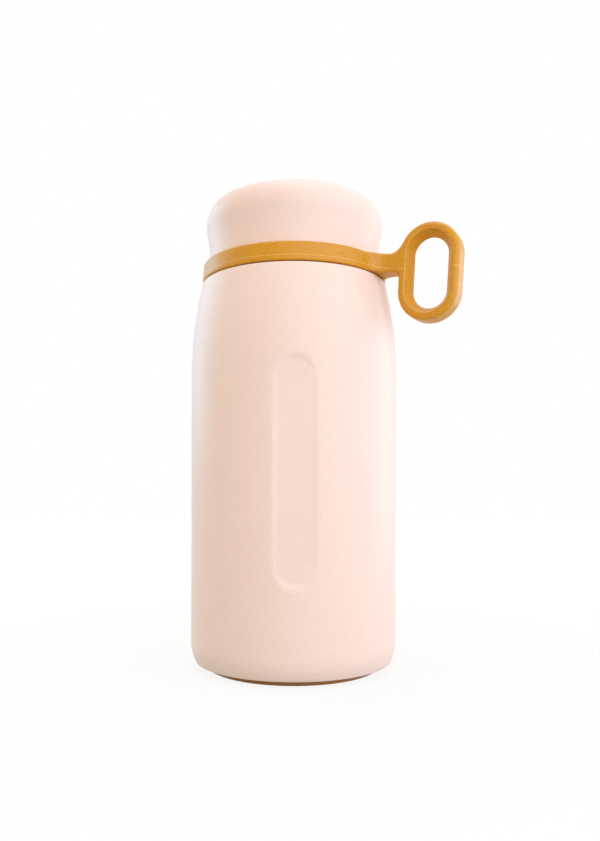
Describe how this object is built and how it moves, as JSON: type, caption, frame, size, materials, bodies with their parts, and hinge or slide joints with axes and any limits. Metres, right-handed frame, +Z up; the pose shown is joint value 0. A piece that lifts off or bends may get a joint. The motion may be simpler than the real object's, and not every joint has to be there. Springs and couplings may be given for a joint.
{
  "type": "insulated drinking bottle",
  "caption": "Small double-walled vacuum drinking bottle with a screw lid, a soft carry band with a finger loop, a grip recess in the front and a soft base pad.",
  "frame": {"origin": "centre of the soft base pad's underside, which the bottle stands on", "axes": "+Z up along the bottle's axis; the grip recess faces -Y; at rest the finger loop points 28 degrees from +X towards -Y"},
  "size_m": [0.0907, 0.072, 0.1625],
  "materials": {
    "body_paint": "matte powder coat with a fine grain",
    "lid_paint": "matte soft-touch paint that matches the body",
    "amber_silicone": "matte moulded silicone",
    "gasket_silicone": "translucent food-grade silicone",
    "lid_plastic": "satin moulded polypropylene",
    "liner_steel": "turned and electropolished",
    "spring_steel": "bare pressed sheet",
    "foil": "bright rolled foil",
    "solder_glass": "fused bead",
    "getter_metal": "pressed powder",
    "adhesive_film": "thin film",
    "foam": "fine closed cells"
  },
  "bodies": {
    "bottle": {"outer_shell": "body_paint", "inner_liner": "liner_steel", "liner_bottom": "liner_steel", "foil_wrap": "foil", "vacuum_bottom": "liner_steel", "vacuum_seal": "solder_glass", "getter": "getter_metal", "getter_clip": "spring_steel", "base_plate": "body_paint", "pad_adhesive": "adhesive_film", "base_pad": "amber_silicone"},
    "seal": {"stopper_gasket": "gasket_silicone"},
    "lid": {"lid_insert": "lid_plastic", "lid_foam": "foam", "lid_cover": "lid_paint"},
    "band": {"carry_band": "amber_silicone"}
  },
  "joints": [
    {"name": "lid_rise", "type": "slide", "parent": "bottle", "child": "seal", "axis": [0, 0, 1], "range_m": [0, 0.018]},
    {"name": "lid_turn", "type": "hinge", "parent": "seal", "child": "lid", "pos_m": [0, 0, 0.1415], "axis": [0, 0, 1], "range_deg": [0, 1080]},
    {"name": "band_swivel", "type": "hinge", "parent": "lid", "child": "band", "pos_m": [0, 0, 0.137], "axis": [0, 0, 1], "continuous": true}
  ],
  "couplings": [
    {"joint": "lid_rise", "follows": "lid_turn", "m_per_rad": 0.00095493}
  ]
}
